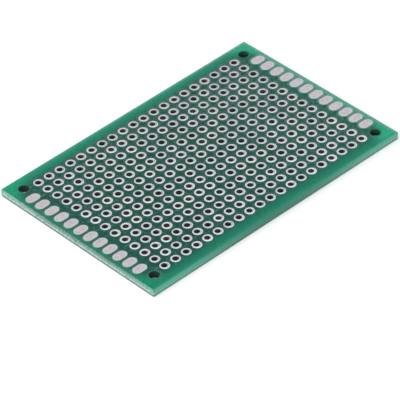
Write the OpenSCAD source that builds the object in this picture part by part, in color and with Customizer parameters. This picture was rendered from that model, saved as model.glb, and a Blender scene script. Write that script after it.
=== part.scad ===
// Prototype board: a rectangle of glass-epoxy laminate with a grid of plated holes,
// a row of oval pads at each end, a mounting hole in each corner and solder mask on both faces.
// The underside lies on Z = 0. X runs along the board's length and Y across it.

/* [Board] */
// Length of the board, along X
board_l = 60; // [58.5:0.1:120]
// Width of the board, along Y
board_w = 40; // [38.5:0.1:120]
// Thickness over the pads of both faces
board_t = 1.6; // [1.4:0.1:3.2]
// Depth of the scored groove that each edge was snapped along, from each face
score_depth = 0.5; // [0.1:0.05:0.6]
// Full angle of the scored groove, in degrees
score_angle = 30; // [10:5:45]

/* [Hole grid] */
// Spacing of the plated holes, both ways
pitch = 2.54; // [2.2:0.01:2.6]
// Plated holes in each row, along X
columns = 20; // [2:1:20]
// Rows of plated holes, along Y
rows = 14; // [3:1:14]

/* [Plated holes] */
// Finished bore of a plated hole
bore_d = 1; // [0.6:0.05:1.3]
// Diameter of the round land on each face
land_d = 2; // [1.7:0.05:2.3]
// Wall of the plated barrel
barrel_wall = 0.04; // [0.02:0.01:0.1]
// Height of the lands and pads over the laminate
pad_t = 0.06; // [0.04:0.01:0.12]
// Bevel where a barrel turns over into its land
mouth_bevel = 0.04; // [0.01:0.01:0.08]

/* [End pads] */
// Length of an oval end pad, along X
end_pad_l = 3; // [2.3:0.1:3.8]
// Width of an oval end pad, along Y
end_pad_w = 2; // [1.2:0.05:2.3]
// Distance from the board's end to the pads
end_pad_inset = 0.8; // [0.4:0.1:1.4]

/* [Mounting holes] */
// Diameter of the unplated mounting holes
mount_d = 2; // [1.5:0.1:3]
// Distance from a mounting hole's centre to both of its edges
mount_inset = 2.95; // [2.5:0.05:3.2]

/* [Solder mask] */
// Thickness of the solder mask
mask_t = 0.025; // [0.01:0.005:0.035]
// Bare laminate left between the mask and a pad or a mounting hole
mask_gap = 0.08; // [0.03:0.01:0.1]

/* [Hidden] */
$fn = 48;

core_t = board_t - 2 * pad_t;
core_top = board_t - pad_t;
score_w = score_depth * tan(score_angle / 2);
drill_d = bore_d + 2 * barrel_wall;
end_pad_x = board_l / 2 - end_pad_inset - end_pad_l / 2;
mount_x = board_l / 2 - mount_inset;
mount_y = board_w / 2 - mount_inset;

// The first and the last row have no end pad: the mounting holes take its place
end_pad_rows = [1 : rows - 2];
sides = [-1, 1];

function row_name(row) = str("plated_holes_row_", row + 1);
function hole_x(column) = (column - (columns - 1) / 2) * pitch;
function hole_y(row) = (row - (rows - 1) / 2) * pitch;

// ---- Where things go ----

module at_row_holes(row) {
    for (column = [0 : columns - 1])
        translate([hole_x(column), hole_y(row)]) children();
}

module at_plated_holes() {
    for (row = [0 : rows - 1]) at_row_holes(row) children();
}

module at_end_pads(side) {
    for (row = end_pad_rows)
        translate([side * end_pad_x, hole_y(row)]) children();
}

module at_mounting_holes() {
    for (x = sides, y = sides)
        translate([x * mount_x, y * mount_y]) children();
}

// ---- Outlines ----

// A stadium: straight sides along X and a half circle at each end
module stadium(length, width) {
    straight = length - width;
    square([straight, width], center = true);
    for (side = sides)
        translate([side * straight / 2, 0]) circle(d = width);
}

module end_pad_outline(grow = 0) {
    stadium(end_pad_l + 2 * grow, end_pad_w + 2 * grow);
}

// Everything that is drilled through the laminate
module drill_holes() {
    at_plated_holes() circle(d = drill_d);
    at_mounting_holes() circle(d = mount_d);
}

// Everything that the solder mask stays clear of
module mask_openings() {
    at_plated_holes() circle(d = land_d + 2 * mask_gap);
    for (side = sides) at_end_pads(side) end_pad_outline(mask_gap);
    at_mounting_holes() circle(d = mount_d + 2 * mask_gap);
}

// ---- Laminate ----

// Cross-section of the sheet between two snapped edges: scored from both faces, with a web between
module scored_section(width) {
    half = width / 2;
    polygon([
        [half - score_w, 0], [half, score_depth], [half, core_t - score_depth], [half - score_w, core_t],
        [score_w - half, core_t], [-half, core_t - score_depth], [-half, score_depth], [score_w - half, 0]
    ]);
}

// The scored section swept along Y
module scored_bar(width, length) {
    rotate([90, 0, 0])
        linear_extrude(length, center = true) scored_section(width);
}

module scored_laminate() {
    color("mediumaquamarine")
        translate([0, 0, pad_t])
            intersection() {
                scored_bar(board_l, board_w);
                rotate([0, 0, 90]) scored_bar(board_w, board_l);
                linear_extrude(core_t)
                    difference() {
                        square([board_l, board_w], center = true);
                        drill_holes();
                    }
            }
}

// ---- Solder mask ----

// The mask ends where the scored groove began
module solder_mask() {
    linear_extrude(mask_t)
        difference() {
            square([board_l - 2 * score_w, board_w - 2 * score_w], center = true);
            mask_openings();
        }
}

module solder_mask_top() {
    color("seagreen") translate([0, 0, core_top]) solder_mask();
}

module solder_mask_bottom() {
    color("seagreen") translate([0, 0, pad_t - mask_t]) solder_mask();
}

// ---- Plated holes and end pads ----

// One plated hole, shaped like a rivet: a land on each face and the barrel between them
module plated_hole() {
    bore_r = bore_d / 2;
    drill_r = drill_d / 2;
    land_r = land_d / 2;
    rotate_extrude()
        polygon([
            [bore_r, mouth_bevel], [bore_r + mouth_bevel, 0], [land_r, 0], [land_r, pad_t],
            [drill_r, pad_t], [drill_r, core_top],
            [land_r, core_top], [land_r, board_t], [bore_r + mouth_bevel, board_t],
            [bore_r, board_t - mouth_bevel]
        ]);
}

module plated_hole_row(row) {
    color("gainsboro") at_row_holes(row) plated_hole();
}

// One column of oval pads at an end of the board; side is -1 for the left end
module end_pads(side, z) {
    color("thistle")
        translate([0, 0, z])
            linear_extrude(pad_t) at_end_pads(side) end_pad_outline();
}

module end_pads_top_left() { end_pads(-1, core_top); }
module end_pads_top_right() { end_pads(1, core_top); }
module end_pads_bottom_left() { end_pads(-1, 0); }
module end_pads_bottom_right() { end_pads(1, 0); }

scored_laminate();
solder_mask_top();
solder_mask_bottom();
for (row = [0 : rows - 1])
    plated_hole_row(row);
end_pads_top_left();
end_pads_top_right();
end_pads_bottom_left();
end_pads_bottom_right();
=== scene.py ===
# %% [markdown]
# # A prototype board
# This lesson dresses a CAD model of a perforated circuit board. The board is a sheet of
# glass-epoxy laminate with green solder mask on both faces. It has 14 rows of 20 plated holes, 12 oval
# pads at each end of each face and a mounting hole in each corner. The CAD model gives every place and
# size; here come the snapped edges, the rims of the lands and pads, the finishes, the light and the camera.

# %% Load the frame
import math
import random
import bmesh
import bpy
from mathutils import Matrix, Vector, noise


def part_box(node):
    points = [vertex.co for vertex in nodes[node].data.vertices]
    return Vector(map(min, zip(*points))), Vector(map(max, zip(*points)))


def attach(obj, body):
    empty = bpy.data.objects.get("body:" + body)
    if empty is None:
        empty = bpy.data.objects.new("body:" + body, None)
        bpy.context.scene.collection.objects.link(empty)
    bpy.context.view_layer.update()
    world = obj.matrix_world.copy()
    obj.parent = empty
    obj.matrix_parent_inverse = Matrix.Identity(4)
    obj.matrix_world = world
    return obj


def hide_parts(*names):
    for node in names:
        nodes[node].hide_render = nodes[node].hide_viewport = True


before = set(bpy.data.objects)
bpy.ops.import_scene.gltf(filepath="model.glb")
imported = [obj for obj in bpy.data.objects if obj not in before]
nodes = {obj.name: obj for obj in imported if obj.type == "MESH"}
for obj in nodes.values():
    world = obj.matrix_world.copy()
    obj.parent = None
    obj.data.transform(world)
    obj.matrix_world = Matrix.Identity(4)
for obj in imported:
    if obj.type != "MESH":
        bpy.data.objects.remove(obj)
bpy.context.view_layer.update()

# %% [markdown]
# ## Measures
# Blender works in metres and this script in millimetres, so one constant turns one into the other. The
# measures come from the boxes of the CAD nodes. A row of plated holes tells the size of a land and the
# pitch, because its box runs from the edge of its first land to that of its last.

# %% Read the measures from the CAD boxes
MM = 0.001
COLUMNS = 20
ROWS = 14
END_PADS = 12

sheet_low, sheet_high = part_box("scored_laminate")
row_low, row_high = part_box("plated_holes_row_1")
pad_low, pad_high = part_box("end_pads_top_right")
mask_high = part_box("solder_mask_top")[1]

land_r = (row_high.y - row_low.y) / 2
pitch = (row_high.x - row_low.x - 2 * land_r) / (COLUMNS - 1)
half_l = sheet_high.x
half_w = sheet_high.y
top_z = row_high.z
core_high = sheet_high.z
core_low = sheet_low.z
score_w = half_l - mask_high.x
pad_x = (pad_low.x + pad_high.x) / 2
pad_l = pad_high.x - pad_low.x
pad_w = land_r * 2
print("pitch", round(pitch / MM, 3), "land", round(2 * land_r / MM, 3), "score", round(score_w / MM, 3))

# %% Measures that no box gives
BORE_R = 0.5 * MM
DRILL_R = 0.54 * MM
SCORE_DEPTH = 0.5 * MM
MOUNT_INSET = 2.95 * MM


def hole_x(column):
    return (column - (COLUMNS - 1) / 2) * pitch


def hole_y(row):
    return (row - (ROWS - 1) / 2) * pitch


print("first hole at", round(hole_x(0) / MM, 2), round(hole_y(0) / MM, 2))

# %% [markdown]
# The drill, the mask and the foil are never quite in register on such a board. Here the lands and the end
# pads lie less than a tenth of a millimetre towards the front in the openings of the mask.

# %% How far the lands and pads lie off centre
LAND_DRIFT = Vector((-0.012, -0.064, 0.0)) * MM
PAD_DRIFT = Vector((-0.03, -0.073, 0.0)) * MM
print("drift of lands and pads in mm:", round(LAND_DRIFT.length / MM, 3), round(PAD_DRIFT.length / MM, 3))

# %% [markdown]
# ## A helper for pieces
# Each new piece is a bmesh that becomes an object at the origin, with its place in its mesh. It rides on
# the board's only body, takes its finish from a named slot, and hides the CAD node that it stands for.


# %% Turn a bmesh into a piece
def make_object(name, bm, finishes):
    mesh = bpy.data.meshes.new(name)
    bm.to_mesh(mesh)
    bm.free()
    for finish in finishes:
        mesh.materials.append(finish)
    thing = bpy.data.objects.new(name, mesh)
    bpy.context.scene.collection.objects.link(thing)
    return thing


def make_piece(name, bm, finishes, stands_for, smooth=True):
    piece = make_object(name, bm, finishes)
    if smooth:
        piece.data.polygons.foreach_set("use_smooth", [True] * len(piece.data.polygons))
    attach(piece, "root")
    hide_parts(stands_for)
    return piece


# %% [markdown]
# ## Helpers for finishes
# A finish is a node material. Written out in full, each node takes five lines, so a small class adds a
# node in one. Colours are written as on a colour chart, from 0 to 255, and turned into the linear values
# that Blender works with when they are mixed.


# %% A colour from the chart
def chart(red, green, blue):
    """A colour from the chart as linear values, by the sRGB curve."""
    linear = []
    for value in (red / 255, green / 255, blue / 255):
        linear.append(value / 12.92 if value <= 0.04045 else ((value + 0.055) / 1.055) ** 2.4)
    return (*linear, 1.0)


print("middle grey of the chart is linear", round(chart(128, 128, 128)[0], 3))


# %% Short ways to add nodes
class Nodes:
    def __init__(self, tree):
        self.tree = tree

    def feed(self, socket, value):
        if isinstance(value, bpy.types.NodeSocket):
            self.tree.links.new(value, socket)
        else:
            socket.default_value = value

    def add(self, kind, settings=None, inputs=None):
        node = self.tree.nodes.new(kind)
        for key, value in (settings or {}).items():
            setattr(node, key, value)
        for key, value in (inputs or {}).items():
            self.feed(node.inputs[key], value)
        return node

    def math(self, operation, *values, kind="ShaderNodeMath"):
        node = self.add(kind, {"operation": operation})
        for socket, value in zip(node.inputs, values):
            self.feed(socket, value)
        return node.outputs[0]

    def vector_math(self, operation, *values):
        return self.math(operation, *values, kind="ShaderNodeVectorMath")

    def plus(self, first, second):
        return self.math("ADD", first, second)

    def minus(self, first, second):
        return self.math("SUBTRACT", first, second)

    def times(self, product, *factors):
        for factor in factors:
            product = self.math("MULTIPLY", product, factor)
        return product

    def size(self, value):
        return self.math("ABSOLUTE", value)


# %% [markdown]
# Every pattern reads Object coordinates in millimetres: the pieces sit at the origin, so the pattern stays
# where the board is. Along and across are the distances from the middle of the board, the same at both
# ends and on both sides. Most colours are mixed by a blend, a smooth step between two places.


# %% A finish is a material with patterns that lie fixed on the board
class Finish(Nodes):
    def __init__(self, name):
        self.material = bpy.data.materials.new(name)
        self.material.use_nodes = True
        super().__init__(self.material.node_tree)
        self.shader = self.tree.nodes["Principled BSDF"]
        where = self.add("ShaderNodeTexCoord").outputs["Object"]
        scaled = self.add("ShaderNodeVectorMath", {"operation": "SCALE"}, {"Vector": where, "Scale": 1 / MM})
        self.place = scaled.outputs[0]
        self.x, self.y, self.z = self.add("ShaderNodeSeparateXYZ", {}, {"Vector": self.place}).outputs
        self.along = self.size(self.x)
        self.across = self.size(self.y)
        print("finish", name)

    def blend(self, start, end, value, share=1.0):
        """0 at start, share at end, and a smooth step between them."""
        node = self.add(
            "ShaderNodeMapRange",
            {"interpolation_type": "SMOOTHSTEP"},
            {"Value": value, "From Min": min(start, end), "From Max": max(start, end)},
        )
        node.inputs["To Min"].default_value = share if start > end else 0.0
        node.inputs["To Max"].default_value = 0.0 if start > end else share
        return node.outputs[0]

    def mix(self, factor, first, second, how="MIX"):
        """Two tones mixed; each is a colour from the chart, or comes from another node."""
        node = self.add("ShaderNodeMix", {"data_type": "RGBA", "blend_type": how, "clamp_factor": True})
        self.feed(node.inputs[0], factor)
        # The colour sockets come after those for numbers and vectors
        for socket, tone in ((node.inputs[6], first), (node.inputs[7], second)):
            self.feed(socket, chart(*tone) if isinstance(tone, tuple) else tone)
        return node.outputs[2]

    def coat(self, color, tone, *shares):
        """A tone mixed over the colour, as thick as the product of the shares."""
        return self.mix(self.times(*shares), color, tone)

    def shade(self, color, level):
        """The colour made lighter or darker by a level around 1."""
        return self.mix(1.0, color, level, how="MULTIPLY")

    def noise(self, size, detail=2.0, rough=0.5, at=None):
        """Soft noise with features about as wide as size, in millimetres."""
        inputs = {"Vector": at or self.place, "Scale": 1 / size, "Detail": detail, "Roughness": rough}
        return self.add("ShaderNodeTexNoise", {}, inputs).outputs[0]

    def chances(self, size):
        """Three random numbers, the same all over each square cell of this size."""
        cell = self.add("ShaderNodeCombineXYZ")
        for socket, value in zip(cell.inputs, (self.x, self.y)):
            self.feed(socket, self.math("FLOOR", self.math("DIVIDE", value, size)))
        color = self.add("ShaderNodeTexWhiteNoise", {}, {"Vector": cell.outputs[0]}).outputs["Color"]
        return self.add("ShaderNodeSeparateColor", {}, {"Color": color}).outputs

    def stretched(self, *factors):
        """Object coordinates with each axis stretched, for patterns that run one way."""
        return self.vector_math("MULTIPLY", self.place, factors)

    def frayed(self, size, swing, stretch):
        """Object coordinates shaken by noise and then stretched, for patches with ragged outlines."""
        shake = self.add("ShaderNodeTexNoise", {}, {"Vector": self.place, "Scale": 1 / size, "Detail": 3.0})
        shaken = self.vector_math("MULTIPLY_ADD", shake.outputs["Color"], (swing, swing, swing), self.place)
        return self.vector_math("MULTIPLY", shaken, stretch)

    def waves(self, value, length):
        """A sine wave of this length, in millimetres."""
        return self.math("SINE", self.times(value, 2 * math.pi / length))

    def bump(self, height, distance, strength=0.8, under=None):
        inputs = {"Height": height, "Distance": distance, "Strength": strength}
        if under is not None:
            inputs["Normal"] = under
        return self.add("ShaderNodeBump", {}, inputs).outputs[0]

    def finish(self, color, roughness, normal=None, **constants):
        self.feed(self.shader.inputs["Base Color"], color)
        self.feed(self.shader.inputs["Roughness"], roughness)
        if normal is not None:
            self.feed(self.shader.inputs["Normal"], normal)
        for key, value in constants.items():
            self.feed(self.shader.inputs[key.replace("_", " ")], value)
        return self.material


# %% [markdown]
# ## Solder mask
# Solder mask is a thin green lacquer over the laminate. Where copper lands crowd round it, little light
# comes back through it and it looks a dark teal. In the bare margins it turns a brighter green, and most
# of all in the corners, where light gets into the laminate from two edges. A translucent shader would be
# slow and noisy, so the colour comes from the distance to the edges, the corners and the nearest copper.


# %% Distances on the board
def distance(finish, first, second):
    squares = finish.plus(finish.times(first, first), finish.times(second, second))
    return finish.math("SQRT", squares)


def offset_to_hole(finish, value, count):
    """How far a coordinate is from the nearest of count centres in a row, along one axis."""
    step = pitch / MM
    last = (count - 1) / 2 * step
    within = finish.minus(finish.math("WRAP", value, 0.0, step), step / 2)
    nearest = finish.minus(value, within)
    nearest = finish.math("MAXIMUM", finish.math("MINIMUM", nearest, last), -last)
    return finish.minus(value, nearest)


def hole_offsets(finish):
    """The offsets along X and Y from the centre of the nearest plated hole."""
    return offset_to_hole(finish, finish.x, COLUMNS), offset_to_hole(finish, finish.y, ROWS)


def offset_to_pad(finish):
    """How far along X a point is from the middle of its column of end pads."""
    return finish.size(finish.minus(finish.along, pad_x / MM))


def pad_distance(finish, y):
    """Distance from the spine of the nearest oval pad, a short line along X."""
    spine = (pad_l - pad_w) / 2 / MM
    past = finish.math("MAXIMUM", finish.minus(offset_to_pad(finish), spine), 0.0)
    return distance(finish, past, offset_to_hole(finish, y, END_PADS))


def corner_distance(finish, inset):
    """Distance from the nearest corner, or from the spot that far inside both of its edges."""
    return distance(
        finish,
        finish.minus((half_l - inset) / MM, finish.along),
        finish.minus((half_w - inset) / MM, finish.across),
    )


def from_left(finish):
    """0 at the left end of the board and 1 at its right end."""
    return finish.plus(finish.math("DIVIDE", finish.x, 2 * half_l / MM), 0.5)


def from_front(finish):
    """0 at the front edge of the board and 1 at its back edge."""
    return finish.plus(finish.math("DIVIDE", finish.y, 2 * half_w / MM), 0.5)


# %% [markdown]
# The mask is coloured in coats, each mixed over those before it. The first is the open mask: the field
# between the holes, the margins along the sides and at the ends, and the glow in the corners. Places are
# in millimetres from the middle of the board, and a glow is measured from the corner itself.

# %% The open mask
FIELD_TO_MARGIN = (16.2, 19.8)
FIELD_TO_END = (27.6, 29.75)
PADS_TO_MOUNT = (14.7, 15.6)
CORNER_GLOW = (5.9, 2.1)


def open_mask(mask):
    rightward = from_left(mask)
    backward = from_front(mask)
    # The field is painted lighter from left to right: a painted reflection of the room in the glossy mask.
    field = mask.mix(rightward, (10, 77, 66), (28, 81, 72))
    front_margin = mask.mix(rightward, (14, 129, 101), (22, 132, 104))
    back_margin = mask.mix(rightward, (34, 150, 118), (41, 147, 118))
    margin = mask.mix(backward, front_margin, back_margin)
    right_end = mask.mix(backward, (90, 174, 152), (108, 168, 150))
    right_end = mask.mix(mask.blend(*PADS_TO_MOUNT, mask.across), right_end, (58, 174, 138))
    end_margin = mask.mix(rightward, (44, 122, 102), right_end)
    left_glow = mask.mix(backward, (6, 140, 106), (20, 161, 120))
    glow = mask.mix(rightward, left_glow, (40, 178, 139))
    color = mask.mix(mask.blend(*FIELD_TO_MARGIN, mask.across), field, margin)
    color = mask.coat(color, end_margin, mask.blend(*FIELD_TO_END, mask.along))
    return mask.coat(color, glow, mask.blend(*CORNER_GLOW, corner_distance(mask, 0.0)))


# %% [markdown]
# Next to the snapped edges light enters the laminate from the side, and a narrow rim of the mask is paler;
# at the right end it shows by the mounting holes. A paler strip also lies between the grid and the end
# pads, where no copper holds back the light in the laminate, so it is painted light; it is plainest at the
# right.

# %% The rims and the strip
SIDE_RIM = (19.15, 19.8)
END_RIM = (29.1, 29.8)
STRIP_START = (25.0, 25.6)
STRIP_END = (26.3, 25.7)
STRIP_PAST_PADS = (17.0, 15.5)


def paler_rims(mask, color):
    back_rim = mask.mix(from_left(mask), (80, 164, 142), (150, 184, 172))
    rim = mask.mix(from_front(mask), (56, 142, 118), back_rim)
    color = mask.coat(color, rim, mask.blend(*SIDE_RIM, mask.across), 0.7)
    by_mounts = mask.blend(*PADS_TO_MOUNT, mask.across, 0.6)
    return mask.coat(color, (138, 182, 164), mask.blend(*END_RIM, mask.x), by_mounts)


def strip_by_grid(mask, color):
    # Painted light: the strip is paler where no copper holds back the light in the laminate.
    strip = mask.times(mask.blend(*STRIP_START, mask.along), mask.blend(*STRIP_END, mask.along))
    plainer = mask.times(from_left(mask), 0.4)
    beside_pads = mask.blend(*STRIP_PAST_PADS, mask.across)
    return mask.coat(color, (52, 122, 102), strip, plainer, beside_pads)


# %% [markdown]
# Round the copper the lands shade the laminate, so the mask is painted darker and greyer there, more so to
# the right and the back: painted shade. Between two end pads only a web of mask is left, and its painted
# shade is greyer still. Next to the mounting holes the mask is darker and greyer too. Distances are from the
# centre of a hole, from the spine or the middle of a pad, or from the middle of the board.

# %% The mask by copper and by the mounting holes
BY_HOLE = (1.5, 1.1)
BY_PAD = (1.4, 1.1)
RIGHT_PADS = (24.9, 25.8)
OUTER_TIPS = (28.7, 29.2)
WEB_START = (0.85, 1.2)
WEB_END = (1.7, 1.27)
WEB_LENGTH = (1.25, 0.5)
LAST_WEB = (15.9, 14.3)
DARKER_SHARE = 0.6


def by_copper(mask, color):
    # Painted shade: darker and greyer mask where the lands shade the laminate under it.
    to_hole = distance(mask, *hole_offsets(mask))
    by_pad = mask.blend(*BY_PAD, pad_distance(mask, mask.y))
    near = mask.math("MAXIMUM", mask.blend(*BY_HOLE, to_hole), by_pad)
    to_far_corner = mask.times(mask.plus(from_left(mask), from_front(mask)), 0.5)
    tone = mask.mix(to_far_corner, (10, 44, 49), (119, 131, 134))
    tone = mask.coat(tone, (114, 156, 148), mask.blend(*RIGHT_PADS, mask.x))
    at_tips = mask.mix(from_left(mask), (94, 130, 118), (134, 168, 156))
    tone = mask.coat(tone, at_tips, mask.blend(*OUTER_TIPS, mask.along))
    return mask.coat(color, tone, near, DARKER_SHARE)


def webs_between_pads(mask, color):
    # Painted shade: the web between two end pads is shaded by the copper on both sides and painted greyer.
    beside_pad = mask.size(offset_to_hole(mask, mask.y, END_PADS))
    web = mask.times(mask.blend(*WEB_START, beside_pad), mask.blend(*WEB_END, beside_pad))
    short = mask.blend(*WEB_LENGTH, offset_to_pad(mask))
    tone = mask.mix(from_left(mask), (82, 94, 92), (128, 143, 141))
    return mask.coat(color, tone, web, short, mask.blend(*LAST_WEB, mask.across), 0.9)


def by_mounting_holes(mask, color):
    near = mask.blend(*BY_HOLE, corner_distance(mask, MOUNT_INSET))
    return mask.coat(color, (78, 116, 106), near, DARKER_SHARE)


# %% [markdown]
# Over the grid the lacquer lies a little unevenly, and in the open margins almost evenly. The board is
# darkest a little to the left of its middle. At the snapped ends the mask chipped along with the glass.
# The glass cloth shows through as a faint weave of half-millimetre threads.

# %% Unevenness, shade, chips and weave
GRID_SIDES = (18.2, 17.0)
GRID_ENDS = (28.0, 26.0)
DARK_FROM_LEFT = (-27.0, -14.0)
DARK_TO_RIGHT = (17.0, 3.0)
DARK_ACROSS = (19.0, 8.0)
CHIPS = (30.31, 30.39)
WARP_THREAD = 0.52
WEFT_THREAD = 0.46


def uneven_over_grid(mask, color, mottle):
    over_grid = mask.times(mask.blend(*GRID_SIDES, mask.across), mask.blend(*GRID_ENDS, mask.along))
    uneven = mask.plus(mask.times(over_grid, 0.7), 0.06)
    color = mask.coat(color, (72, 122, 106), mask.blend(0.5, 0.72, mottle), uneven)
    color = mask.coat(color, (12, 68, 62), mask.blend(0.5, 0.28, mottle), uneven)
    grain = mask.minus(mask.noise(0.36, rough=0.7), 0.48)
    strength = mask.math("MULTIPLY_ADD", over_grid, 1.3, 1.1)
    return mask.shade(color, mask.math("MULTIPLY_ADD", grain, strength, 1.0))


def darker_middle(mask, color):
    middle = mask.times(mask.blend(*DARK_FROM_LEFT, mask.x), mask.blend(*DARK_TO_RIGHT, mask.x))
    return mask.coat(color, (0, 0, 0), middle, mask.blend(*DARK_ACROSS, mask.across, 0.18))


def chipped_ends(mask, color):
    ragged = mask.plus(mask.along, mask.times(mask.noise(0.32, detail=3.0), 0.9))
    return mask.coat(color, (158, 192, 182), mask.blend(*CHIPS, ragged, 0.75))


# %% The whole mask finish, on both faces
def make_mask_finish():
    mask = Finish("green_solder_mask")
    mottle = mask.noise(0.75, detail=3.0)
    weave = mask.times(mask.waves(mask.x, WARP_THREAD), mask.waves(mask.y, WEFT_THREAD))
    color = open_mask(mask)
    for coat in (paler_rims, strip_by_grid, by_copper, webs_between_pads, by_mounting_holes):
        color = coat(mask, color)
    color = uneven_over_grid(mask, color, mottle)
    color = chipped_ends(mask, darker_middle(mask, color))
    color = mask.coat(color, (90, 150, 130), mask.plus(weave, 1.0), 0.09)
    relief = mask.bump(mask.noise(0.45), 0.006 * MM)
    relief = mask.bump(weave, 0.0012 * MM, under=relief)
    rough = mask.plus(0.3, mask.times(mottle, 0.16))
    return mask.finish(color, rough, relief, Specular_IOR_Level=0.05)


mask_finish = make_mask_finish()
for node_name in ("solder_mask_top", "solder_mask_bottom"):
    nodes[node_name].material_slots[0].material = mask_finish
print("solder mask dressed on both faces")

# %% [markdown]
# ## Laminate
# The sheet is layers of glass cloth in epoxy. Its edges were scored from both faces and snapped, so each
# side has three bands: a smooth bevel, a rough web where the glass tore, and the lower bevel. The web
# needs real relief. A copy of the CAD sheet gives the flat faces and the drilled holes; its side faces
# are cut away, and the new sides are drawn down from the rim, band by band, and joined to the lower rim.
#
# Bare laminate shows only in narrow rings round the lands, pads and mounting holes, and in the walls of
# those holes. The rings lie in shade in their narrow gaps and are painted dark, a painted shade that takes
# the tone of what lies round them; the walls turn greyer with depth.

# %% Finish of the faces and the drilled walls
ACROSS_THE_BOARD = (-20.0, 20.0)
PAD_ENDS = (25.6, 25.9)
PAST_PADS = (15.4, 15.8)
BEHIND_PAD = (-0.2, 0.5)
WALL_START = (0.0, 0.05)
SHALLOW_TO_DEEP = (0.3, 0.9)


def bare_rings(bare):
    rightward = bare.blend(*ACROSS_THE_BOARD, bare.x)
    backward = bare.blend(*ACROSS_THE_BOARD, bare.y)
    to_far_corner = bare.times(bare.plus(rightward, backward), 0.5)
    # Painted shade: the rings are painted dark for the shade in the narrow gaps round the copper.
    by_lands = bare.mix(to_far_corner, (58, 76, 72), (88, 120, 114))
    behind_pad = bare.blend(*BEHIND_PAD, offset_to_hole(bare, bare.y, END_PADS))
    by_left_pads = bare.mix(behind_pad, (78, 134, 116), (56, 112, 97))
    by_pads = bare.mix(rightward, by_left_pads, (114, 158, 148))
    at_end = bare.mix(bare.blend(*PAST_PADS, bare.across), by_pads, (74, 130, 112))
    return bare.mix(bare.blend(*PAD_ENDS, bare.along), by_lands, at_end)


def drilled_walls(bare, depth):
    rightward = bare.blend(*ACROSS_THE_BOARD, bare.x)
    shallow = bare.mix(rightward, (48, 82, 72), (46, 112, 88))
    deep = bare.mix(rightward, (75, 75, 76), (42, 74, 60))
    wall = bare.mix(bare.blend(*SHALLOW_TO_DEEP, depth), shallow, deep)
    plies = bare.noise(0.3, at=bare.stretched(1, 1, 4))
    return bare.coat(wall, (50, 88, 74), plies, 0.6)


def make_flat_finish():
    bare = Finish("bare_laminate")
    depth = bare.minus(core_high / MM, bare.z)
    height = bare.minus(bare.z, core_low / MM)
    in_wall = bare.times(bare.blend(*WALL_START, depth), bare.blend(*WALL_START, height))
    color = bare.mix(in_wall, bare_rings(bare), drilled_walls(bare, depth))
    relief = bare.bump(bare.noise(0.12, detail=3.0, at=bare.stretched(1, 1, 3)), 0.01 * MM, 0.7)
    return bare.finish(color, 0.6, relief, Specular_IOR_Level=0.05)


flat_finish = make_flat_finish()

# %% [markdown]
# The snapped sides look different along the length and at the ends. Along the length the epoxy is a
# soft mint, painted lighter towards the corners as light from within the laminate. At the ends the glass is
# torn: green epoxy above a ragged line, which drops twice on its way to the front, and pale glass below it,
# painted lighter and mint by the corners as light from within the laminate. A level is a depth in
# millimetres under the top of the lands.

# %% The soft sides, and the ground of the torn ends
MIDDLE_TO_END = (2.0, 29.0)
UPPER_TO_LOWER = (0.0, 1.0)
NEAR_CORNER = (9.0, 19.0)
FRONT_CORNER = (-8.0, -18.0)
FIRST_DROP = (13.0, 7.0)
SECOND_DROP = (-6.0, -14.0)
DROP = 0.09
GREEN_TO_GLASS = (0.14, 1.04)


def soft_side(edge, level, streaks):
    # Painted light: the side is lighter towards the corners, as light from within the laminate.
    to_ends = edge.blend(*MIDDLE_TO_END, edge.along)
    upper = edge.mix(to_ends, (48, 149, 122), (78, 199, 166))
    lower = edge.mix(to_ends, (84, 154, 136), (134, 215, 192))
    soft = edge.mix(edge.blend(*UPPER_TO_LOWER, level), upper, lower)
    soft = edge.coat(soft, (100, 148, 134), edge.noise(0.8), 0.35)
    return edge.coat(soft, (190, 218, 208), edge.blend(0.5, 0.7, streaks), 0.22)


def torn_ground(edge, level):
    fringe = edge.noise(0.5, detail=3.0, at=edge.stretched(1, 1, 0.5))
    line = edge.plus(level, edge.times(edge.minus(fringe, 0.5), 0.9))
    line = edge.minus(line, edge.blend(*FIRST_DROP, edge.y, DROP))
    line = edge.minus(line, edge.blend(*SECOND_DROP, edge.y, DROP))
    # Painted light: the torn glass is lighter and mint by the corners, as light from within the laminate.
    to_corner = edge.blend(*NEAR_CORNER, edge.across)
    green = edge.mix(to_corner, (46, 102, 90), (72, 160, 138))
    green = edge.mix(edge.blend(*FRONT_CORNER, edge.y), green, (14, 140, 108))
    torn = edge.mix(edge.blend(*GREEN_TO_GLASS, line), green, (204, 220, 220))
    return edge.coat(torn, (138, 226, 202), to_corner, 0.5)


# %% [markdown]
# Over that ground go clouds of paler, darker, rosy and mint glass. Each bundle of cut fibres then gets a
# tint of its own from a Voronoi pattern with frayed cells, with dark epoxy in the seams. Single fibres come
# last. Most of this shows in the torn web, and a quarter of it on the bevels.

# %% Clouds, bundles and fibres of torn glass
INTO_WEB = (0.2, 0.8)
OUT_OF_WEB = (1.3, 1.1)
ON_BEVELS = 0.25
BUNDLE_SCALE = 2.5
SEAMS = (0.36, 0.62)


def torn_clouds(edge, torn, shown):
    clumps = edge.noise(0.9, at=edge.stretched(1, 1, 1.3))
    hue = edge.noise(1.5)
    for start, end, cloud, share, tone in (
        (0.5, 0.64, clumps, edge.times(shown, 0.4), (224, 238, 235)),
        (0.5, 0.36, clumps, 0.32, (100, 134, 127)),
        (0.52, 0.66, hue, edge.times(shown, 0.35), (196, 170, 182)),
        (0.48, 0.34, hue, 0.3, (126, 208, 184)),
    ):
        torn = edge.coat(torn, tone, edge.blend(start, end, cloud), share)
    return torn


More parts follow.
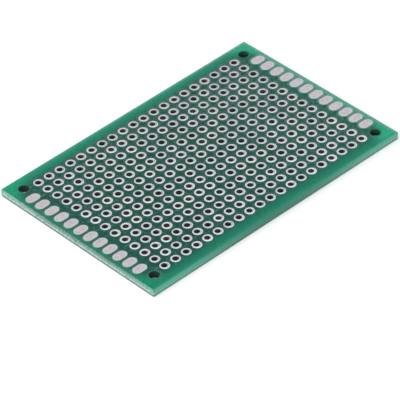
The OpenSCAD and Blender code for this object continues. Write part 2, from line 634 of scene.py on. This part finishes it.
def torn_bundles(edge, torn, shown):
    cells = edge.add(
        "ShaderNodeTexVoronoi",
        {"feature": "SMOOTH_F1"},
        {"Vector": edge.frayed(0.14, 0.34, (1, 1, 1.6)), "Scale": BUNDLE_SCALE, "Smoothness": 0.25},
    )
    chance = edge.add("ShaderNodeSeparateColor", {}, {"Color": cells.outputs["Color"]}).outputs
    for start, end, share, number, tone in (
        (0.66, 0.88, 0.8, 0, (220, 232, 229)),
        (0.42, 0.12, 0.9, 0, (84, 118, 110)),
        (0.72, 0.84, 0.75, 1, (188, 166, 175)),
        (0.28, 0.16, 0.8, 1, (154, 214, 194)),
    ):
        torn = edge.coat(torn, tone, edge.blend(start, end, chance[number]), share, shown)
    seam = edge.blend(*SEAMS, cells.outputs["Distance"])
    return edge.coat(torn, (72, 112, 104), seam, 0.26)


def torn_fibres(edge, torn, shown, streaks):
    torn = edge.coat(torn, (66, 104, 96), edge.blend(0.46, 0.3, streaks, 0.42))
    torn = edge.coat(torn, (226, 238, 234), edge.blend(0.56, 0.7, streaks), shown)
    fibres = edge.noise(0.07, at=edge.stretched(0.4, 0.4, 2.0))
    torn = edge.coat(torn, (232, 244, 240), edge.blend(0.5, 0.64, fibres, 0.55))
    return edge.coat(torn, (84, 118, 112), edge.blend(0.47, 0.34, fibres, 0.45))


# %% [markdown]
# Level bands finish the torn ends: a mint light in the upper half, greener at the front, a pale line at the
# foot of the web and a dark one under it, painted shade on the lower bevel, which faces down to the floor.

# %% Level bands, and the whole torn end
LOWER_HALF = (0.75, 1.0)
MINT_ABOVE = (1.0, 0.2)
GREEN_TOP = (0.6, 0.0)
GREEN_FRONT = (-4.0, -12.0)
WEB_FOOT = (0.88, 1.06)
SHADE_UNDER_WEB = (1.16, 1.25)


def level_bands(edge, torn, level):
    torn = edge.coat(torn, (64, 166, 140), edge.blend(*MINT_ABOVE, level, 0.25))
    at_front = edge.blend(*GREEN_FRONT, edge.y, 0.3)
    torn = edge.coat(torn, (48, 150, 122), edge.blend(*GREEN_TOP, level), at_front)
    torn = edge.coat(torn, (190, 238, 226), edge.blend(*WEB_FOOT, level, 0.45))
    # Painted shade: the band under the web, on the lower bevel, is painted dark.
    return edge.coat(torn, (36, 86, 78), edge.blend(*SHADE_UNDER_WEB, level, 0.85))


def torn_end(edge, level, streaks):
    in_web = edge.times(edge.blend(*INTO_WEB, level), edge.blend(*OUT_OF_WEB, level))
    shown = edge.plus(edge.times(in_web, 1 - ON_BEVELS), ON_BEVELS)
    torn = torn_clouds(edge, torn_ground(edge, level), shown)
    torn = edge.coat(torn, (220, 248, 243), edge.blend(*LOWER_HALF, level, 0.85))
    torn = torn_bundles(edge, torn, shown)
    torn = torn_fibres(edge, torn, shown, streaks)
    return level_bands(edge, torn, level)


# %% The whole finish of the snapped sides
END_FACE = (29.80, 29.86)
PLY = 0.185
LOWER_BEVEL_SHADE = (1.12, 1.35)


def make_edge_finish():
    edge = Finish("snapped_glass_epoxy")
    level = edge.minus(top_z / MM, edge.z)
    streaks = edge.noise(0.16, detail=4.0, rough=0.65, at=edge.stretched(1, 1, 1.8))
    at_end = edge.blend(*END_FACE, edge.along)
    color = edge.mix(at_end, soft_side(edge, level, streaks), torn_end(edge, level, streaks))

    # The plies of glass cloth show as faint level lines all round
    wander = edge.times(edge.noise(0.6), 1.6)
    plies = edge.math("SINE", edge.plus(edge.times(level, 2 * math.pi / PLY), wander))
    color = edge.coat(color, (66, 108, 98), edge.blend(0.2, 1.0, plies), 0.1)
    # Painted shade darkens the lower bevel all round, which faces down to the floor.
    color = edge.coat(color, (60, 100, 90), edge.blend(*LOWER_BEVEL_SHADE, level), 0.42)
    return edge.finish(color, 0.62, edge.bump(streaks, 0.04 * MM), Specular_IOR_Level=0.25)


edge_finish = make_edge_finish()

# %% [markdown]
# The flat part of the sheet starts as a copy of the CAD mesh. A CAD node's mesh is loose triangles, so the
# copy's doubles are merged first. Then every steep face outside the score lines is cut away, and so is
# each edge and point that no face holds any more.

# %% The flat part of the sheet, from a copy of the CAD mesh
MERGE = 0.00001 * MM
CLEAR = 0.001 * MM
FLAT = 0.9


def past_score(spot, clear=0.0):
    """Whether a spot lies outside the line where a scored groove began."""
    return abs(spot.x) > half_l - score_w + clear or abs(spot.y) > half_w - score_w + clear


def flat_sheet():
    """The two faces and the drilled walls."""
    bm = bmesh.new()
    bm.from_mesh(nodes["scored_laminate"].data)
    bmesh.ops.remove_doubles(bm, verts=bm.verts, dist=MERGE)
    sides = []
    for face in bm.faces:
        if past_score(face.calc_center_median(), CLEAR) and abs(face.normal.z) < FLAT:
            sides.append(face)
    bmesh.ops.delete(bm, geom=sides, context="FACES_ONLY")
    for parts, context in ((bm.edges, "EDGES"), (bm.verts, "VERTS")):
        loose = [part for part in parts if not part.link_faces]
        bmesh.ops.delete(bm, geom=loose, context=context)
    print("side faces cut away:", len(sides))
    return bm


sheet = flat_sheet()

# %% [markdown]
# The rims of the two faces are eight long edges. They are cut into short steps of the same length, upper
# and lower, so that the sides can be rough and still meet both.

# %% Cut the rims into steps
RIM_STEP = 0.125 * MM
SAME_LENGTH = 0.01 * MM


def rim_edges(bm):
    return [edge for edge in bm.edges if edge.is_boundary]


def cut_rims(bm):
    for length in (2 * (half_l - score_w), 2 * (half_w - score_w)):
        long_edges = [edge for edge in rim_edges(bm) if abs(edge.calc_length() - length) < SAME_LENGTH]
        cuts = round(length / RIM_STEP) - 1
        bmesh.ops.subdivide_edges(bm, edges=long_edges, cuts=cuts)
    print("rim steps:", len(rim_edges(bm)))


cut_rims(sheet)

# %% [markdown]
# Each band is the rim extruded and scaled to its new half sizes: first the bevel down to the web, then
# the web in thin layers, then the lower bevel, which meets the lower rim. Noise from Blender's noise
# module, which gives the same value each time, then pushes the web inwards and frays its upper and lower
# lines. Nothing is pushed outwards, so the board keeps its size.

# %% The lines of a side
WEB_LAYERS = 6
BEVEL_LAYERS = 2


def side_levels():
    """Height, and inset from the full size, of each line of the side from the top to the bottom."""
    levels = []
    for step in range(1, BEVEL_LAYERS + 1):
        share = step / BEVEL_LAYERS
        levels.append((core_high - SCORE_DEPTH * share, score_w * (1 - share)))
    web = core_high - core_low - 2 * SCORE_DEPTH
    for step in range(1, WEB_LAYERS + 1):
        levels.append((core_high - SCORE_DEPTH - web * step / WEB_LAYERS, 0.0))
    for step in range(1, BEVEL_LAYERS):
        share = step / BEVEL_LAYERS
        levels.append((core_low + SCORE_DEPTH * (1 - share), score_w * share))
    return levels


print("heights of the lines in mm:", [round(height / MM, 2) for height, inset in side_levels()])


# %% Draw the sides down from the upper rim
def draw_sides(bm):
    upper = [edge for edge in rim_edges(bm) if edge.verts[0].co.z > top_z / 2]
    lower = [edge for edge in rim_edges(bm) if edge.verts[0].co.z < top_z / 2]
    line = upper
    lines = []
    for height, inset in side_levels():
        grown = bmesh.ops.extrude_edge_only(bm, edges=line)["geom"]
        verts = [item for item in grown if isinstance(item, bmesh.types.BMVert)]
        line = [item for item in grown if isinstance(item, bmesh.types.BMEdge) and item.is_boundary]
        wide = max(vert.co.x for vert in verts)
        deep = max(vert.co.y for vert in verts)
        for vert in verts:
            vert.co.x *= (half_l - inset) / wide
            vert.co.y *= (half_w - inset) / deep
            vert.co.z = height
        lines.append(verts)
    bmesh.ops.bridge_loops(bm, edges=line + lower)
    bmesh.ops.recalc_face_normals(bm, faces=bm.faces)
    print("side lines:", len(lines))
    return lines


side_lines = draw_sides(sheet)

# %% [markdown]
# The push inwards adds three noises, from coarse to hair-fine, each drawn out along the edge. One more
# noise moves the points up or down. The web is torn deepest; its upper and lower lines are torn less but
# wander more, and the bevels are almost smooth.

# %% Tear the web
BY_SIDE = 0.3 * MM
TORN_WEB = (0.11 * MM, 0.05 * MM)
TORN_LINE = (0.035 * MM, 0.09 * MM)
WORN_BEVEL = (0.012 * MM, 0.0)


def noise_at(spot, fine, tall, shift):
    return noise.noise(Vector((spot.x * fine, spot.y * fine, spot.z * tall + shift)))


def tear(vert, depth, shift):
    """Pushes one point of the side inwards, and moves it a little up or down."""
    spot = vert.co / MM
    coarse = noise_at(spot, 0.9, 1.5, 0.0)
    fine = noise_at(spot, 3.1, 6.0, 7.0)
    hair = noise_at(spot, 7.3, 9.0, 13.0)
    push = depth * min(1.0, max(0.0, 0.42 + 0.5 * coarse + 0.55 * fine + 0.35 * hair))
    slip = shift * noise.noise(Vector((spot.x * 2.3 + 31.0, spot.y * 2.3, 5.0)))
    if abs(vert.co.x) > half_l - BY_SIDE:
        vert.co.x -= math.copysign(push, vert.co.x)
    if abs(vert.co.y) > half_w - BY_SIDE:
        vert.co.y -= math.copysign(push, vert.co.y)
    vert.co.z += slip


web_first = BEVEL_LAYERS - 1
web_last = BEVEL_LAYERS + WEB_LAYERS - 1
for number, verts in enumerate(side_lines):
    kind = TORN_WEB if web_first < number < web_last else WORN_BEVEL
    if number in (web_first, web_last):
        kind = TORN_LINE
    for vert in verts:
        tear(vert, *kind)
print("torn lines:", web_last - web_first + 1)

# %% The finished sheet
for face in sheet.faces:
    outside = past_score(face.calc_center_median())
    face.material_index = 1 if outside else 0
    face.smooth = outside
sheet_finishes = [flat_finish, edge_finish]
laminate = make_piece("snapped_laminate", sheet, sheet_finishes, "scored_laminate", smooth=False)
print("laminate faces:", len(laminate.data.polygons))

# %% [markdown]
# ## Plated holes
# A plated hole is a rivet of copper under a film of tin: a barrel through the board and a land on each
# face. The rim of a land is chamfered, and its top sinks a little towards the mouth of the hole, where the
# molten solder drew in. A cross-section spun about the hole's axis makes it. There are 280 of them, so the
# cross-section has few points and the spin few steps, and smooth shading rounds the rest.
#
# The finish comes first. The tin is bright and mottled. On one side of each mouth the tin is a dull rose,
# with a dark, broken arc. U and V are the offsets from the hole's centre, reach is the
# distance from it, and lean is how far a spot lies to the right and the front.

# %% The tin's ground, rosy side and clouds
ROSY_SIDE = (0.3, 0.62)
ROSY_REACH = (0.86, 0.66)
ARC_R = 0.71
ARC_WIDTH = (0.09, 0.02)
ARC_SIDE = (0.3, 0.55)


def tin_ground(tin, chance):
    tone = tin.plus(tin.times(chance[0], 0.35), tin.times(tin.noise(0.4), 0.65))
    return tin.mix(tone, (182, 205, 208), (244, 253, 252))


def rosy_side_and_arc(tin, color, reach, lean, chance):
    rosy_part = tin.times(tin.blend(*ROSY_SIDE, lean), tin.blend(*ROSY_REACH, reach))
    color = tin.coat(color, (198, 168, 184), rosy_part, tin.blend(0.3, 0.95, chance[2], 0.75))
    specks = tin.blend(0.52, 0.62, tin.noise(0.22, detail=1.0))
    color = tin.coat(color, (160, 138, 150), rosy_part, specks, 0.6)
    arc = tin.blend(*ARC_WIDTH, tin.size(tin.minus(reach, ARC_R)))
    broken = tin.blend(0.48, 0.58, tin.noise(0.4, detail=1.0), 0.85)
    return tin.coat(color, (110, 92, 102), arc, tin.blend(*ARC_SIDE, lean), broken)


def clouds_and_pits(tin, color):
    warm = tin.noise(0.42, detail=1.0)
    color = tin.coat(color, (224, 204, 212), tin.blend(0.5, 0.72, warm), 0.5)
    color = tin.coat(color, (178, 214, 206), tin.blend(0.5, 0.28, warm), 0.5)
    pits = tin.blend(0.66, 0.74, tin.noise(0.16, detail=1.0, at=tin.stretched(1, 1, 0)))
    return tin.coat(color, (140, 150, 152), pits, 0.5)


# %% [markdown]
# Each land is painted brighter along one diagonal, a painted sheen. A darker outline at the rim is
# painted shade where the land falls off at its chamfer, and the tin is painted darker from the front left
# corner of the board to the back right one, painted shade where the light falls off.

# %% The tin's light and outline, and the whole land
SHEEN_STRENGTH = 0.075
OUTLINE = (0.946, 0.966)
OUTLINE_DRIFT = -0.03
FAR_SHADE = (-0.15, 0.42)


def painted_sheen_diagonal(tin, color, u, v, lean):
    # Painted sheen: the tin is painted brighter along one diagonal of each land.
    ahead = tin.plus(tin.times(u, 0.65), tin.times(v, 0.75))
    drawn = tin.minus(tin.times(ahead, ahead), tin.times(lean, lean))
    drawn = tin.math("DIVIDE", drawn, tin.math("MULTIPLY_ADD", u, u, tin.times(v, v)))
    return tin.shade(color, tin.math("MULTIPLY_ADD", drawn, SHEEN_STRENGTH, 1.0))


def rim_shade_outline(tin, color, u, v):
    # Painted shade: a darker outline where the land falls off at its chamfered rim.
    from_middle_u = tin.minus(u, LAND_DRIFT.x / MM)
    from_middle_v = tin.minus(v, LAND_DRIFT.y / MM + OUTLINE_DRIFT)
    reach = distance(tin, from_middle_u, from_middle_v)
    return tin.coat(color, (94, 132, 125), tin.blend(*OUTLINE, reach))


def shaded_far_corner(tin, color):
    # Painted shade: darker towards the back right corner, where the light falls off.
    rightward = tin.math("DIVIDE", tin.x, 4 * half_l / MM)
    backward = tin.math("DIVIDE", tin.y, 4 * half_w / MM)
    far_shade = tin.blend(*FAR_SHADE, tin.plus(rightward, backward), 0.19)
    return tin.shade(color, tin.minus(1.0, far_shade))


def land_color(tin, u, v, chance):
    reach = distance(tin, u, v)
    lean = tin.plus(tin.times(u, 0.75), tin.times(v, -0.65))
    color = rosy_side_and_arc(tin, tin_ground(tin, chance), reach, lean, chance)
    color = painted_sheen_diagonal(tin, clouds_and_pits(tin, color), u, v, lean)
    return shaded_far_corner(tin, rim_shade_outline(tin, color, u, v))


# %% [markdown]
# The mouth turns down into the copper barrel, which is painted dark: painted shade in the narrow hole,
# darkest just under the mouth, with a paler patch halfway down on one side that is painted light. Each
# barrel has a tone of its own, and each mouth is a little off its hole's centre, by the cell's three random
# numbers.

# %% The barrel
MOUTH = (0.615, 0.535)
UNDER_FACE = (0.02, 0.08)
MOUTH_SHADE_START = (0.05, 0.14)
MOUTH_SHADE_END = (0.46, 0.36)
LIT_PATCH_DEPTH = (0.44, 0.58)
LIT_PATCH_SIDE = (-0.22, 0.16)


def inside_mouth(tin, u, v, depth, chance):
    """1 inside the hole and 0 on the land."""
    off_u = tin.plus(tin.times(chance[1], 0.12), -0.012)
    off_v = tin.plus(tin.times(chance[2], 0.12), -0.06)
    mouth = distance(tin, tin.plus(u, off_u), tin.plus(v, off_v))
    mouth = tin.plus(mouth, tin.times(tin.minus(chance[0], 0.5), 0.04))
    return tin.math("MAXIMUM", tin.blend(*MOUTH, mouth), tin.blend(*UNDER_FACE, depth))


def barrel_color(tin, u, v, depth, chance):
    # Painted shade: the barrel is painted dark for the shade in the narrow hole, with a tone of its own in
    # each.
    barrel = tin.mix(chance[1], (12, 24, 28), (74, 10, 40))
    barrel = tin.coat(barrel, (66, 52, 58), tin.noise(0.35), 0.45)
    barrel = tin.coat(barrel, (96, 76, 86), chance[2], 0.4)
    # Painted shade: darkest just under the mouth.
    mouth_shade_end = tin.blend(*MOUTH_SHADE_END, depth, 0.75)
    barrel = tin.coat(barrel, (10, 8, 10), tin.blend(*MOUTH_SHADE_START, depth), mouth_shade_end)
    # Painted light: a paler patch halfway down on one side.
    lit_patch = tin.mix(chance[1], (150, 156, 158), (214, 136, 160))
    on_one_side = tin.blend(*LIT_PATCH_SIDE, tin.minus(v, u), 0.7)
    barrel = tin.coat(barrel, lit_patch, tin.blend(*LIT_PATCH_DEPTH, depth), on_one_side)
    flecks = tin.noise(0.15, detail=1.0)
    barrel = tin.coat(barrel, (122, 104, 114), tin.blend(0.5, 0.64, flecks, 0.45))
    barrel = tin.coat(barrel, (8, 6, 10), tin.blend(0.5, 0.36, flecks, 0.55))
    return tin.shade(barrel, tin.math("MULTIPLY_ADD", chance[0], 0.9, 0.5))


# %% The whole finish of a plated hole
def make_tin_finish():
    tin = Finish("levelled_solder")
    u, v = hole_offsets(tin)
    chance = tin.chances(pitch / MM)
    half_thick = top_z / 2 / MM
    depth = tin.minus(half_thick, tin.size(tin.minus(tin.z, half_thick)))
    inside = inside_mouth(tin, u, v, depth, chance)
    color = tin.mix(inside, land_color(tin, u, v, chance), barrel_color(tin, u, v, depth, chance))
    tin.feed(tin.shader.inputs["Metallic"], tin.minus(1.0, tin.times(inside, 0.6)))
    rough = tin.plus(0.32, tin.times(tin.noise(0.3), 0.18))
    return tin.finish(color, rough, tin.bump(tin.noise(0.25), 0.008 * MM))


tin_finish = make_tin_finish()

# %% [markdown]
# The cross-section is a closed loop of eight points, mirrored about the middle of the board. Two of them
# lie in the drilled wall of the laminate. After the spin, the outer points of both lands move by the
# drift, while the bore stays where it is.

# %% The cross-section, and one hole spun from it
SPIN_STEPS = 12
LAND_FOOT_R = 1.02 * MM
LAND_TOP_R = 0.985 * MM
MOUTH_DIP = 0.035 * MM
LAND_ONLY_R = 0.7 * MM


def section():
    """Radius and height of each point, from the top land's foot round to the bottom one's."""
    upper = [(LAND_FOOT_R, core_high), (LAND_TOP_R, top_z), (BORE_R, top_z - MOUTH_DIP)]
    lower = [(radius, top_z - height) for radius, height in reversed(upper)]
    hidden = [(DRILL_R, core_low), (DRILL_R, core_high)]
    return upper + lower + hidden


def spin_hole(bm, x, y, turn):
    verts = []
    for radius, height in section():
        spot = Vector((radius, 0.0, height))
        spot.rotate(Matrix.Rotation(turn, 3, "Z"))
        verts.append(bm.verts.new(spot + Vector((x, y, 0.0))))
    edges = [bm.edges.new((verts[i], verts[(i + 1) % len(verts)])) for i in range(len(verts))]
    known = set(bm.verts) - set(verts)
    bmesh.ops.spin(
        bm,
        geom=verts + edges,
        cent=(x, y, 0.0),
        axis=(0.0, 0.0, 1.0),
        angle=2 * math.pi,
        steps=SPIN_STEPS,
        use_merge=True,
    )
    for vert in set(bm.verts) - known:
        if math.hypot(vert.co.x - x, vert.co.y - y) > LAND_ONLY_R:
            vert.co += LAND_DRIFT


print("points in the cross-section:", len(section()))

# %% [markdown]
# Random numbers from a seeded generator give each spin its own start, and move the points round the top of
# each land a little sideways, so that no rim is perfectly round and no two lands are alike.

# %% Fourteen rows of twenty
SEED = 20
WANDER_MM = 0.015
ON_FACE = 0.001 * MM


def row_of_holes(row, rng):
    bm = bmesh.new()
    for column in range(COLUMNS):
        spin_hole(bm, hole_x(column), hole_y(row), rng.uniform(0, math.pi))
    bmesh.ops.remove_doubles(bm, verts=bm.verts, dist=0.001 * MM)
    bmesh.ops.recalc_face_normals(bm, faces=bm.faces)
    for vert in bm.verts:
        under_face = top_z / 2 - abs(vert.co.z - top_z / 2)
        if under_face < ON_FACE:
            vert.co.x += rng.uniform(-WANDER_MM, WANDER_MM) * MM
            vert.co.y += rng.uniform(-WANDER_MM, WANDER_MM) * MM
    name = f"solder_row_{row + 1}"
    return make_piece(name, bm, [tin_finish], f"plated_holes_row_{row + 1}")


rng = random.Random(SEED)
solder_rows = [row_of_holes(row, rng) for row in range(ROWS)]
print("holes:", ROWS * COLUMNS, "faces in a row:", len(solder_rows[0].data.polygons))

# %% [markdown]
# ## End pads
# The oval pads are flat copper under a thicker film of tin, which is dull and faintly mottled in the
# middle and clean at the rim. The shoulder is painted paler at the front than at the back, painted light and
# shade on its rounded slope, and the outer tips are greener. Distances are from the spine of a pad, or from
# the middle of the board.

# %% Finish of the end pads
PAD_RIM = (0.5, 0.72)
PAD_SHOULDER = (0.8, 0.96)
PAD_FRONT_TO_BACK = (-0.2, 0.4)
PAD_TIPS = (28.75, 29.15)
RIGHT_PAD_TIPS = (28.4, 28.9)


def mottled_middle(pad, cloud):
    middle = pad.mix(pad.blend(0.35, 0.65, cloud), (178, 174, 181), (216, 211, 217))
    chance = pad.chances(pitch / MM)
    blotch = pad.times(pad.blend(0.48, 0.62, pad.noise(0.36, detail=3.0)), 0.6)
    rosy = pad.plus(blotch, pad.times(pad.blend(0.5, 1.0, chance[0]), 0.3))
    return pad.coat(middle, (210, 180, 192), rosy)


def make_pad_finish():
    pad = Finish("mottled_tin")
    cloud = pad.noise(0.3, detail=3.0, rough=0.65)
    drifted_y = pad.minus(pad.y, PAD_DRIFT.y / MM)
    from_spine = pad_distance(pad, drifted_y)
    # Painted light and shade: the shoulder is paler at the front and darker at the back.
    to_back = pad.blend(*PAD_FRONT_TO_BACK, offset_to_hole(pad, drifted_y, END_PADS))
    shoulder = pad.mix(to_back, (166, 196, 191), (134, 152, 150))
    color = pad.mix(pad.blend(*PAD_RIM, from_spine), mottled_middle(pad, cloud), (197, 206, 206))
    color = pad.coat(color, shoulder, pad.blend(*PAD_SHOULDER, from_spine))
    color = pad.coat(color, (140, 200, 184), pad.blend(*PAD_TIPS, pad.along, 0.5))
    color = pad.coat(color, (140, 200, 184), pad.blend(*RIGHT_PAD_TIPS, pad.x, 0.3))
    rough = pad.plus(0.36, pad.times(cloud, 0.2))
    return pad.finish(color, rough, pad.bump(cloud, 0.006 * MM, 0.7), Metallic=1.0)


pad_finish = make_pad_finish()

# %% [markdown]
# An oval is a circle whose two halves are moved apart. The circle is turned by half a segment, so that no
# point of it lies between the halves. It is extruded to six tenths of the pad's height, and its face is
# then inset three times and raised a little each time, which gives a rounded rim and an almost flat top.

# %% One oval
OVAL_SEGMENTS = 20
OVAL_WALL = 0.6
OVAL_STEPS = ((0.025 * MM, 0.016 * MM), (0.10 * MM, 0.0055 * MM), (0.3 * MM, 0.0013 * MM))


def joined_to(members):
    """Every vertex that is joined to these ones."""
    found = set(members)
    waiting = list(found)
    while waiting:
        vert = waiting.pop()
        for edge in vert.link_edges:
            other = edge.other_vert(vert)
            if other not in found:
                found.add(other)
                waiting.append(other)
    return list(found)


def oval(bm, x, y, facing, base):
    """One pad, facing up (1) or down (-1), with its underside at the height base."""
    half_turn = Matrix.Rotation(math.pi / OVAL_SEGMENTS, 4, "Z")
    ring = bmesh.ops.create_circle(
        bm, cap_ends=True, segments=OVAL_SEGMENTS, radius=pad_w / 2, matrix=half_turn
    )["verts"]
    for vert in ring:
        vert.co.x += math.copysign((pad_l - pad_w) / 2, vert.co.x)
    bottom = ring[0].link_faces[0]
    body = bmesh.ops.extrude_face_region(bm, geom=[bottom], use_keep_orig=True)["geom"]
    top = next(item for item in body if isinstance(item, bmesh.types.BMFace))
    rise = (top_z - core_high) * OVAL_WALL
    bmesh.ops.translate(bm, verts=list(top.verts), vec=(0, 0, rise))
    for inset, lift in OVAL_STEPS:
        bmesh.ops.inset_region(bm, faces=[top], thickness=inset, use_even_offset=True)
        bmesh.ops.translate(bm, verts=list(top.verts), vec=(0, 0, lift))
    whole = joined_to(ring + list(top.verts))
    bmesh.ops.scale(bm, verts=whole, vec=(1, 1, facing))
    bmesh.ops.translate(bm, verts=whole, vec=(x, y, base))


print("height of a pad in mm:", round((top_z - core_high) / MM, 3))


# %% Four columns of twelve
def column_of_pads(face, end):
    side = -1 if end == "left" else 1
    facing, base = (1, core_high) if face == "top" else (-1, core_low)
    bm = bmesh.new()
    for row in range(1, ROWS - 1):
        oval(bm, side * pad_x + PAD_DRIFT.x, hole_y(row) + PAD_DRIFT.y, facing, base)
    bmesh.ops.recalc_face_normals(bm, faces=bm.faces)
    name = f"tinned_pads_{face}_{end}"
    return make_piece(name, bm, [pad_finish], f"end_pads_{face}_{end}")


pad_columns = [column_of_pads(face, end) for face in ("top", "bottom") for end in ("left", "right")]
print("pad columns:", len(pad_columns), "faces in each:", len(pad_columns[0].data.polygons))

# %% [markdown]
# ## Floor, light and camera
# The board lies on a plain white floor. To a camera, a mirror or a lens the room is plain white, while the
# board is lit by a softer grey world and one large lamp, so that colours look about as written. The floor
# glows a little to a camera or a mirror, but not under the board.

# %% Floor
FLOOR_REACH = 3.0
FLOOR_TONE = 0.84
FLOOR_GLOW = 0.35
WHITE = (1, 1, 1, 1)


def make_floor_finish():
    floor = Finish("white_floor")
    path = floor.add("ShaderNodeLightPath").outputs
    seen = floor.math("MAXIMUM", path["Is Camera Ray"], path["Is Glossy Ray"])
    past_end = floor.math("GREATER_THAN", floor.along, half_l / MM)
    past_side = floor.math("GREATER_THAN", floor.across, half_w / MM)
    beside = floor.math("MAXIMUM", past_end, past_side)
    floor.feed(floor.shader.inputs["Emission Strength"], floor.times(seen, beside, FLOOR_GLOW))
    tone = (FLOOR_TONE, FLOOR_TONE, FLOOR_TONE, 1)
    return floor.finish(tone, 0.9, Specular_IOR_Level=0.0, Emission_Color=WHITE)


def make_floor():
    bm = bmesh.new()
    bmesh.ops.create_grid(bm, x_segments=1, y_segments=1, size=FLOOR_REACH)
    floor = make_object("floor", bm, [make_floor_finish()])
    print("floor of", 2 * FLOOR_REACH, "m")


make_floor()


# %% World
def make_world(ambient):
    world = bpy.data.worlds.new("white_room")
    bpy.context.scene.world = world
    world.use_nodes = True
    sky = Nodes(world.node_tree)
    path = sky.add("ShaderNodeLightPath").outputs
    seen = sky.math("MAXIMUM", path["Is Camera Ray"], path["Is Glossy Ray"])
    seen = sky.math("MAXIMUM", seen, path["Is Transmission Ray"])
    level = sky.add("ShaderNodeMapRange", {}, {"Value": seen, "To Min": ambient, "To Max": 1.0})
    light = sky.tree.nodes["Background"]
    sky.feed(light.inputs["Color"], WHITE)
    sky.feed(light.inputs["Strength"], level.outputs[0])
    print("ambient light", ambient)


make_world(ambient=0.6)


# %% Lamp
def make_lamp(name, place, size, power):
    data = bpy.data.lights.new(name, "AREA")
    data.size = size
    data.energy = power
    lamp = bpy.data.objects.new(name, data)
    lamp.location = place
    lamp.rotation_euler = Vector(place).to_track_quat("Z", "Y").to_euler()
    lamp.visible_glossy = False
    bpy.context.scene.collection.objects.link(lamp)
    print(name, [round(v, 2) for v in place])


make_lamp("key_lamp", place=(-0.46, 0.10, 0.40), size=0.9, power=2.8)

# %% [markdown]
# The camera looks down on the board from the front left with a long lens, so the sides hardly converge.
# Its height is measured from the top of the lands.

# %% Camera
SENSOR = 36.0
LENS = 311.084
NEAREST = 0.01
FARTHEST = 10.0
CAMERA_PLACE = (-0.317333, -0.363265, 0.384627)
CAMERA_TURN = (50.7178, 2.76522, -43.3335)

camera_data = bpy.data.cameras.new("camera")
camera_data.sensor_width = SENSOR
camera_data.lens = LENS
camera_data.clip_start = NEAREST
camera_data.clip_end = FARTHEST
camera = bpy.data.objects.new("camera", camera_data)
camera.location = Vector(CAMERA_PLACE) + Vector((0.0, 0.0, top_z))
camera.rotation_euler = [math.radians(angle) for angle in CAMERA_TURN]
bpy.context.scene.collection.objects.link(camera)
bpy.context.scene.camera = camera
bpy.context.scene.view_settings.view_transform = "Standard"
print("camera at", [round(v, 4) for v in camera.location])
